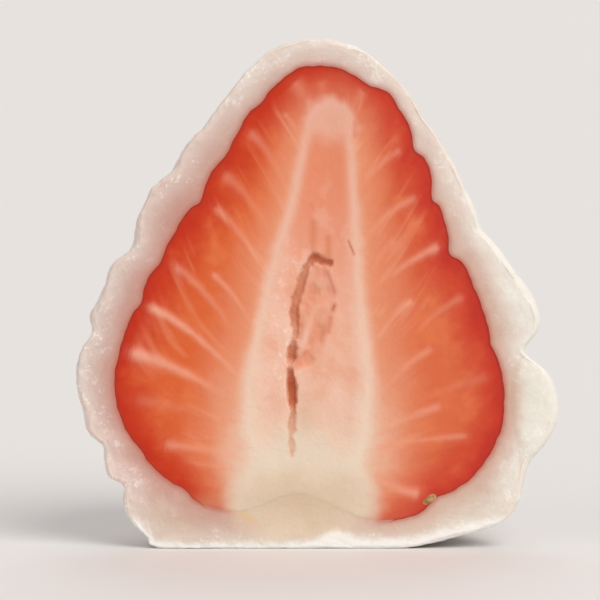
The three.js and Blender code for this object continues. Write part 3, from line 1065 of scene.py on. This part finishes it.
# %% Strands
# Outer end (across, height), inner end, strength and half width at the outer end.
STRANDS = [
    ((-15.4, 22.1), (-6.9, 15.2), 1.0, 0.42),
    ((-17.1, 17.9), (-8.6, 14.0), 1.0, 0.6),
    ((-13.0, 25.7), (-7.6, 19.6), 0.5, 0.42),
    ((-9.6, 25.0), (-6.0, 20.2), 0.65, 0.3),
    ((-9.4, 31.0), (-5.2, 25.6), 0.5, 0.4),
    ((-8.6, 34.0), (-4.2, 28.6), 0.35, 0.5),
    ((-6.2, 37.8), (-2.8, 32.8), 0.4, 0.45),
    ((-2.2, 42.2), (-0.5, 39.4), 0.42, 0.75),
    ((-3.1, 39.4), (-1.2, 36.2), 0.5, 0.3),
    ((-14.0, 9.5), (-6.4, 8.2), 0.6, 0.5),
    ((-16.6, 13.6), (-8.4, 11.6), 0.22, 0.6),
    ((4.1, 41.4), (2.7, 38.9), 0.42, 0.55),
    ((0.3, 42.3), (0.6, 39.8), 0.26, 0.5),
    ((7.5, 36.2), (3.6, 32.4), 0.5, 0.35),
    ((8.9, 31.9), (4.4, 28.4), 0.55, 0.38),
    ((11.0, 27.4), (6.2, 24.4), 0.8, 0.45),
    ((6.9, 28.0), (4.4, 24.4), 0.35, 0.35),
    ((8.6, 22.6), (4.9, 18.4), 0.8, 0.32),
    ((13.2, 22.9), (8.6, 19.4), 0.35, 0.4),
    ((10.4, 18.2), (5.4, 13.8), 0.45, 0.35),
    ((15.4, 15.6), (9.6, 13.6), 0.2, 0.5),
    ((11.2, 13.0), (5.4, 10.4), 0.55, 0.38),
    ((13.6, 10.3), (6.4, 9.4), 0.5, 0.32),
    ((9.2, 5.0), (5.2, 6.2), 0.85, 0.55),
]
STRAND_POINTS = 40


def strand_mesh():
    """All strands as one mesh of edges, with strength and width on its points."""
    points, edges, strengths, widths = [], [], [], []
    share = np.linspace(0, 1, STRAND_POINTS)
    taper = 1 - 0.5 * share
    fade = smooth(share, -0.03, 0.1) * (1 - smooth(share, 0.8, 1.05))  # at both ends
    fall = 0.55 * share + 0.45 * share**2  # level by the seed, steeper towards the core
    for outer_end, inner_end, strength, width in STRANDS:
        start = len(points)
        across_line = outer_end[0] + share * (inner_end[0] - outer_end[0]) + AXIS_X
        height_line = outer_end[1] + fall * (inner_end[1] - outer_end[1])
        points += [(x * MM, (CUT_Y + RECESS) * MM, z * MM) for x, z in zip(across_line, height_line)]
        edges += [(start + i, start + i + 1) for i in range(STRAND_POINTS - 1)]
        strengths += list(strength * taper * fade)
        widths += list(width * taper)
    mesh = bpy.data.meshes.new("strand_lines")
    mesh.from_pydata(points, edges, [])
    for key, values in (("strength", strengths), ("width", widths)):
        mesh.attributes.new(key, "FLOAT", "POINT").data.foreach_set("value", values)
    made = bpy.data.objects.new("strand_lines", mesh)
    bpy.context.scene.collection.objects.link(made)
    return made


strand_lines = strand_mesh()
print(len(STRANDS), "strands")

# %% [markdown]
# ## Finish of the fruit
#
# The colour of a cut strawberry is a map of its parts. A deep red margin comes first, then flesh that
# lightens to orange towards the ring, the pale ring itself and, inside it, pith that is orange under the
# tip, pink in the middle and cream at the hull. Fine veins run beside the strands, so their streaks are
# drawn in a fan: a point is named by the height at which its vein leaves the ring and by its distance
# from it. Every border is soft and uneven, so each distance gets a little noise before it is used.

# %% Fruit material
flesh = Finish(
    "strawberry_flesh",
    {
        "IOR": 1.36,
        "Subsurface Weight": 0.3,
        "Subsurface Radius": (1.0, 0.36, 0.22),
        "Subsurface Scale": 0.8 * MM,
        "Specular IOR Level": 0.35,
    },
)
across, _, height = flesh.split(flesh.place)
up = height / 46.0  # 0 on the ground, 1 at the cake's top
to_rim = flesh.of("to_rim")
to_ring = flesh.of("to_ring")
strand = flesh.of("strand")
slit_share = flesh.of("slit")
torn_depth = flesh.of("torn_depth")
bruise = flesh.of("bruise")

cloud = flesh.noise(flesh.place, 0.22, 3.0) - 0.5
patch = flesh.noise(flesh.place, 0.45, 3.0, 0.5) - 0.5
cells = flesh.noise(flesh.place, 1.6, 4.0, 0.6) - 0.5
upright = flesh.vectors("MULTIPLY", flesh.place, (1.1, 0.6, 0.45))
fibre = flesh.noise(upright, 0.8, 3.0, 0.55) - 0.5
right_side = flesh.step(across, -4.0, 8.0)
low = 1 - flesh.step(height, 6.0, 22.0)
high = flesh.step(height, 22.0, 38.0)

climb = flesh.step(height, 0.0, 36.0) * 1.25  # how steeply a vein climbs, from level at the base
root = height - to_ring * climb
veins = flesh.noise(flesh.vector(root, to_ring * 0.2, right_side * 5), 0.75, 2.2, 0.5) - 0.5

# Flesh from the red margin inwards.
orange = flesh.mix(colour(215, 99, 50), colour(214, 106, 68), right_side)
vivid = flesh.mix(colour(197, 54, 20), colour(201, 62, 38), right_side)
margin = flesh.step(to_rim + patch * 3.0 + veins * 1.5, 0.3, 4.6)
tint = flesh.mix(vivid, orange, margin)
deep = 1 - flesh.step(to_rim + cloud * 1.6 + patch * 1.2, 0.1, 1.3)
margin_red = flesh.mix(colour(186, 40, 18), colour(184, 43, 34), right_side)
tint = flesh.mix(tint, margin_red, deep * (0.75 - flesh.step(0 - height, -9.0, -4.0) * 0.45 - high * 0.3))
tip = flesh.step(height + cloud * 4, 35.0, 41.0)
tint = flesh.mix(tint, colour(202, 84, 68), tip * margin * 0.85)
tint = flesh.mix(tint, colour(226, 126, 76), flesh.step(patch, -0.06, 0.26) * margin * 0.55)
near_ring = 1 - flesh.step(to_ring + patch * 2.4 - low * 0.8, 0.2, 5.6 + low * 1.4 - high * 1.8)
near_ring = near_ring * (0.45 + flesh.step(height, 3.0, 8.0) * 0.55)
tint = flesh.mix(tint, colour(227, 152, 116), near_ring * (0.9 - tip * 0.55))
halo = 1 - flesh.step(to_ring + patch * 2.0 + veins * 1.5, 0.2, 4.7)
tint = flesh.mix(tint, colour(228, 190, 166), halo * low * low * flesh.step(height, 3.0, 7.0))
beside = flesh.smudge(across + patch * 1.5, height + patch * 3, (-8.0, 8.0), (1.1, 2.6))
tint = flesh.mix(tint, colour(228, 184, 158), beside * 0.5)
lobe_end = flesh.smudge(across + patch * 2, height, (-9.6, 4.1), (1.5, 0.9))
tint = flesh.mix(tint, colour(208, 140, 104), lobe_end * 0.6)
pale_veins = flesh.step(veins, 0.03, 0.22) * (0.3 + near_ring * 0.3) * flesh.step(to_rim, 0.4, 2.4)
tint = flesh.mix(tint, colour(232, 158, 124), pale_veins)
dark_veins = flesh.step(0 - veins, 0.06, 0.26) * 0.3
tint = flesh.mix(tint, colour(200, 78, 46), dark_veins * (1 - near_ring))
tint = flesh.mix(tint, colour(236, 172, 146), strand * (0.85 - near_ring * 0.3))

# Pith inside the ring, from the hull end up.
pith_stops = [
    (0.09, colour(216, 198, 170)),
    (0.16, colour(227, 208, 187)),
    (0.24, colour(229, 194, 172)),
    (0.33, colour(231, 182, 158)),
    (0.44, colour(232, 177, 152)),
    (0.57, colour(230, 161, 134)),
    (0.67, colour(226, 144, 112)),
    (0.77, colour(224, 138, 104)),
    (0.83, colour(224, 148, 118)),
]
pith = flesh.node("ShaderNodeValToRGB", {"stops": pith_stops}, {"Fac": up + patch * 0.06})
pale_side = flesh.smudge(across, height, (AXIS_X - 3.6, 19.0), (1.5, 9.0))
pith = flesh.mix(pith, colour(238, 202, 184), pale_side * 0.4)
pale_pith = flesh.step(patch + fibre * 0.4, -0.02, 0.16)
pith = flesh.mix(pith, colour(235, 199, 180), pale_pith * (0.5 - high * 0.5))
dark_pith = flesh.step(0 - patch - fibre * 0.3, 0.02, 0.2)
pith = flesh.mix(pith, colour(224, 150, 119), dark_pith * (0.45 - low * 0.35 - high * 0.3))
frayed = flesh.smudge(across, height, (-3.1, 19.5), (1.5, 7.0)) * flesh.step(cells + fibre * 0.5, 0.03, 0.2)
pith = flesh.mix(pith, colour(244, 217, 200), frayed * 0.75)
beige = flesh.smudge(across + patch, height, (-1.2, 11.3), (0.9, 2.8))
pith = flesh.mix(pith, colour(208, 178, 150), beige * (0.4 + cells * 0.6))
in_core = flesh.step(0 - to_ring + cloud * 1.0, -0.2, 0.9)
tint = flesh.mix(tint, pith, in_core)

# The ring of vessels, and the pale cap that closes it under the tip.
ring_stops = [(0.15, colour(231, 212, 192)), (0.45, colour(233, 199, 178)), (0.85, colour(228, 176, 156))]
ring_tint = flesh.node("ShaderNodeValToRGB", {"stops": ring_stops}, {"Fac": up})
ring_width = 1.1 - up * 0.75
ring_share = flesh.bell(to_ring + patch * 0.7 + fibre * 0.4, ring_width)
tint = flesh.mix(tint, ring_tint, ring_share * (0.95 - up * 0.2))
CAP = (1.1, 38.9)  # across and height of its middle
CAP_HALF = (2.3, 1.8)
cap_across = (across - CAP[0]) / CAP_HALF[0]
cap_up = (height - CAP[1] + across * 0.1) / CAP_HALF[1]
cap = 1 - flesh.step(cap_across * cap_across + cap_up * cap_up + patch * 2.2 + fibre * 1.2, 0.0, 1.9)
tint = flesh.mix(tint, colour(228, 174, 153), cap * 0.8)

# Cream flesh above the hull.
CREAM_HALF = (5.6, 5.8)
hull_across = (across - HULL[0] - AXIS_X) / CREAM_HALF[0]
hull_up = (height - HULL[1]) / CREAM_HALF[1]
hull_far = hull_across * hull_across + hull_up * hull_up + (cloud + patch) * 0.7 + veins * 0.3
cream = 1 - flesh.step(hull_far, 0.5, 1.9)
tint = flesh.mix(tint, colour(226, 210, 190), cream * 0.95)

# The torn hollow, the slit, the brown flecks with the painted shadow of the hollow's lip, and the line of
# skin at the rim.
torn_dark = flesh.step(patch + cells * 0.4, -0.1, 0.15)
torn_tint = flesh.mix(colour(225, 152, 120), colour(214, 130, 96), torn_dark)
tint = flesh.mix(tint, torn_tint, torn_depth * 0.9)
slit_dark = flesh.of("slit_dark")
slit_tint = flesh.mix(colour(214, 158, 124), colour(194, 102, 65), flesh.step(slit_dark, 0.1, 0.9))
tint = flesh.mix(tint, slit_tint, slit_share * (0.6 + slit_dark * 0.38))
# Brown flecks, and the painted shadow of the hollow's lip, darker where a mark is strong.
fleck_and_shadow_tint = flesh.mix(colour(212, 122, 86), colour(136, 84, 58), flesh.step(bruise, 0.62, 0.92))
tint = flesh.mix(tint, fleck_and_shadow_tint, bruise)
skin_line = flesh.bell(to_rim, 0.15)
tint = flesh.mix(tint, colour(156, 44, 30), skin_line * 0.4)
tint = over_scar(flesh, tint, across, height)
flesh.set("Base Color", tint)

flesh.set("Roughness", flesh.step(cells, -0.3, 0.3) * 0.16 + 0.38)
flesh.bump(cells + fibre * 0.4 + veins * 0.5 + 0.5, 0.07)
print("strawberry flesh:", len(flesh.nodes.nodes), "nodes")

# %% Marks on the cut
# Small brown flecks of dried vessel, and the painted shadow of the torn hollow's right lip (the four marks
# along its edge): two ends (across, height), half width and strength.
MARKS = [
    ((-0.4, 29.6), (-0.5, 27.2), 0.34, 0.6),
    ((0.9, 28.2), (0.95, 26.6), 0.3, 0.6),
    ((2.75, 27.9), (3.25, 26.7), 0.12, 0.85),
    ((3.3, 38.6), (3.3, 37.4), 0.2, 0.5),
    ((0.85, 25.1), (1.5, 23.3), 0.22, 0.7),
    ((1.5, 22.1), (1.35, 21.7), 0.24, 0.8),
    ((1.1, 20.9), (0.95, 19.7), 0.26, 0.6),
    ((0.9, 20.4), (0.3, 19.0), 0.35, 0.35),
    ((-0.6, 31.1), (-0.5, 30.9), 0.24, 0.35),
]


def mark_strength(points):
    """The strongest mark at each point of the cut."""
    strength = np.zeros(len(points))
    for start, end, half, power in MARKS:
        start, end = np.array(start), np.array(end)
        along = np.clip((points - start) @ (end - start) / ((end - start) ** 2).sum(), 0, 1)
        gap = np.linalg.norm(points - start - along[:, None] * (end - start), axis=1)
        strength = np.maximum(strength, power * np.exp(-((gap / half) ** 2)))
    return strength


fleck_and_shadow_strengths = np.concatenate([outer, mark_strength(flat)]).astype(np.float32)
berry_base.data.attributes.new("bruise", "FLOAT", "POINT").data.foreach_set("value", fleck_and_shadow_strengths)
print(len(MARKS), "marks")

# %% Cut flesh
cut_flesh = Shaper(
    "cut flesh",
    {
        "Strands": "object",
        "Strand height": "float",
        "Cell height": "float",
        "Slit depth": "float",
        "Hollow depth": "float",
    },
)
spot = cut_flesh.place()
cut_mask = cut_flesh.stored("cut")
lines = cut_flesh.node("GeometryNodeObjectInfo", inputs={"Object": cut_flesh.given("Strands")}, output=4)
gap = cut_flesh.node("GeometryNodeProximity", {"target_element": "EDGES"}, {"Target": lines}, 1)
closest = cut_flesh.node("GeometryNodeSampleNearest", {"domain": "POINT"}, {"Geometry": lines})


def from_strand(attribute):
    """A number read off the nearest point of a strand."""
    read = {"Geometry": lines, "Value": cut_flesh.stored(attribute), "Index": closest}
    return cut_flesh.node("GeometryNodeSampleIndex", {"data_type": "FLOAT", "domain": "POINT"}, read)


waver = (cut_flesh.noise(spot, 0.8, 2.0) - 0.5) * 0.3
strand = cut_flesh.bell(gap / MM + waver, from_strand("width")) * from_strand("strength") * cut_mask

jags = (cut_flesh.noise(spot, 1.7, 3.0, 0.7) - 0.5) * 0.55
slit_half = cut_flesh.stored("slit_half")
slit = 1 - cut_flesh.step(cut_flesh.stored("slit_gap") + jags, slit_half * 0.5, slit_half + 0.14)
slit_floor = (0.55 + cut_flesh.noise(spot, 1.1, 2.0) * 0.9) * cut_flesh.stored("slit_dark")

ragged = (cut_flesh.noise(spot, 0.7, 2.0, 0.5) - 0.5) * 0.8
torn = cut_flesh.step(cut_flesh.stored("hollow_side") + ragged, -0.2, 0.6) * cut_flesh.stored("hollow_span")
torn = torn * (1 - cut_flesh.stored("shred") * 0.85)
stretched = cut_flesh.vectors("MULTIPLY", spot, (1.1, 1.0, 0.8))
scraps = cut_flesh.step(cut_flesh.noise(stretched, 0.6, 1.5, 0.5), 0.38, 0.62)
torn_depth = torn * (0.45 + scraps * 0.55)

cells = (cut_flesh.noise(spot, 0.9, 3.0, 0.6) - 0.5) * cut_mask
sunk = slit * slit_floor * cut_flesh.given("Slit depth") + torn_depth * cut_flesh.given("Hollow depth")
sunk = sunk - strand * cut_flesh.given("Strand height") + cells * cut_flesh.given("Cell height")
shaped = cut_flesh.moved(cut_flesh.given("Geometry"), cut_flesh.vector(0.0, sunk * MM, 0.0))
shaped = cut_flesh.store(shaped, "strand", strand)
shaped = cut_flesh.store(shaped, "slit", slit)
shaped = cut_flesh.store(shaped, "torn_depth", torn_depth)
cut_flesh.end(shaped, flesh)
berry = cut_flesh.result(
    berry_base,
    "berry",
    {
        "Strands": strand_lines,
        "Strand height": 0.07,
        "Cell height": 0.05,
        "Slit depth": 0.6,
        "Hollow depth": 0.3,
    },
)
bpy.data.objects.remove(strand_lines)

# %% [markdown]
# ## Seeds and starch
#
# Four seeds lie where the knife went past them, each in its pit at the edge of the fruit. They are copies
# of one small pointed grain, placed on points that carry its tilt and its size. The flour that keeps dough
# from sticking shows as pale crumbs, which lie in drifts on the skin. Each has a small tree of its own.


# %% Seeds
def points_object(name, points, attributes):
    """Loose points in millimetres, with a number stored on each."""
    mesh = bpy.data.meshes.new(name)
    mesh.from_pydata([((x + AXIS_X) * MM, (y + CUT_Y) * MM, z * MM) for x, y, z in points], [], [])
    for key, values in attributes.items():
        mesh.attributes.new(key, "FLOAT", "POINT").data.foreach_set("value", values)
    made = bpy.data.objects.new(name, mesh)
    bpy.context.scene.collection.objects.link(made)
    return made


SEED_DEEP = 0.32  # how far a seed's middle lies behind the cutting plane
# Side and height of each seed, its size as a multiple of the grain, and how far inside the outline it lies.
CUT_SEEDS = [
    ("right", 27.4, 0.65, 0.45),
    ("right", 4.0, 1.3, 0.6),
    ("left", 22.4, 0.65, 0.45),
    ("left", 4.3, 0.55, 0.4),
]

seed_places, seed_tilts, seed_sizes = [], [], []
for side, level, size, sunk in CUT_SEEDS:
    at = on_side(side, level)
    outward = away(at)
    seed_places.append(at - outward * sunk + [0, SEED_DEEP, 0])
    seed_tilts.append(math.atan2(outward[0], outward[2]) + math.pi / 2)
    seed_sizes.append(size)

husk = Finish(
    "seed_husk",
    {"IOR": 1.45, "Roughness": 0.5, "Subsurface Weight": 0.1, "Subsurface Scale": 0.3 * MM},
)
stain = husk.noise(husk.place, 2.5, 3.0)
husk.set("Base Color", husk.mix(colour(152, 106, 66), colour(188, 146, 102), husk.step(stain, 0.4, 0.6)))

sown = Shaper("seeds", {"Length": "float", "Width": "float", "Depth": "float"})
ball = sown.node("GeometryNodeMeshUVSphere", inputs={"Segments": 20, "Rings": 14, "Radius": 0.5})
reach = sown.node("GeometryNodeInputPosition")
narrowing = 0.85 - sown.split(reach)[2] * 0.55  # a blunt lower end and a pointed upper one
slim = sown.put(ball, sown.vectors("MULTIPLY", reach, sown.vector(narrowing, narrowing, 1.0)))
measures = sown.vector(sown.given("Width"), sown.given("Depth"), sown.given("Length"))
grain = sown.node("GeometryNodeTransform", inputs={"Geometry": slim, "Scale": measures})
placed = sown.node(
    "GeometryNodeInstanceOnPoints",
    inputs={
        "Points": sown.given("Geometry"),
        "Instance": grain,
        "Rotation": sown.vector(0.0, sown.stored("tilt"), 0.0),
        "Scale": sown.scaled(sown.vector(MM, MM, MM), sown.stored("size")),
    },
)
sown.end(placed, husk)
seed_points = points_object("seed_points", seed_places, {"tilt": seed_tilts, "size": seed_sizes})
seeds = sown.result(seed_points, "seeds", {"Length": 1.45, "Width": 0.8, "Depth": 0.5})

# %% Starch crumbs
FREE = 0.25  # crumbs keep this far from the sides of the cake's box, in millimetres

starch = Finish("rice_starch", {"Base Color": colour(244, 241, 236), "Roughness": 0.8})
dusting = Shaper(
    "starch",
    {"Crumbs per sq mm": "float", "Smallest": "float", "Largest": "float", "Seed": "int"},
)
spot = dusting.place()
drifts = dusting.step(dusting.noise(spot, 0.35, 3.0), 0.38, 0.6)
above_low = dusting.vectors("SUBTRACT", spot, tuple(wrapper_low / MM))
below_high = dusting.vectors("SUBTRACT", tuple(wrapper_high / MM), spot)
share = dusting.stored("skin") * drifts
for room_left in dusting.split(dusting.vectors("MINIMUM", above_low, below_high)):
    share = share * dusting.step(room_left, FREE, 2 * FREE)
density = share * dusting.given("Crumbs per sq mm") / MM**2
scattered = dusting.node(
    "GeometryNodeDistributePointsOnFaces",
    {"distribute_method": "RANDOM"},
    {"Mesh": dusting.given("Geometry"), "Density": density, "Seed": dusting.given("Seed")},
)
lie = Socket(dusting, scattered.link.node.outputs["Rotation"])
size = dusting.node(
    "FunctionNodeRandomValue",
    {"data_type": "FLOAT"},
    {2: dusting.given("Smallest"), 3: dusting.given("Largest"), "Seed": dusting.given("Seed")},
    1,
)
crumb = dusting.node("GeometryNodeMeshIcoSphere", inputs={"Radius": 0.5, "Subdivisions": 2})
crumbs = dusting.node(
    "GeometryNodeInstanceOnPoints",
    inputs={
        "Points": scattered,
        "Instance": crumb,
        "Rotation": lie,
        "Scale": dusting.scaled(dusting.vector(MM, MM * 0.8, MM * 0.6), size),
    },
)
dusting.end(crumbs, starch)
ground = bpy.data.objects.new("starch_ground", wrapper.data.copy())
bpy.context.scene.collection.objects.link(ground)
dust = dusting.result(
    ground, "starch", {"Crumbs per sq mm": 1.4, "Smallest": 0.06, "Largest": 0.2, "Seed": 7}
)

# %% [markdown]
# ## Hand over
#
# Every piece rides on the cake's one rigid body. The dough and the fruit take the place of their plain
# solids, and the seeds and the starch lie on them. The size of what was drawn is written down beside the
# size of the solids.

# %% Bodies and size
for piece, slot, solid in (
    (wrapper, "mochi", "mochi_wrapper"),
    (berry, "strawberry", "strawberry"),
    (seeds, "strawberry", None),
    (dust, "mochi", None),
):
    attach(piece, "root")
    if solid:
        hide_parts(solid)

visual_box = [list(corner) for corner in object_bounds()]
for label, box in (("solids", cad_box), ("drawn", visual_box)):
    print(label, [[round(value / MM, 3) for value in corner] for corner in box])
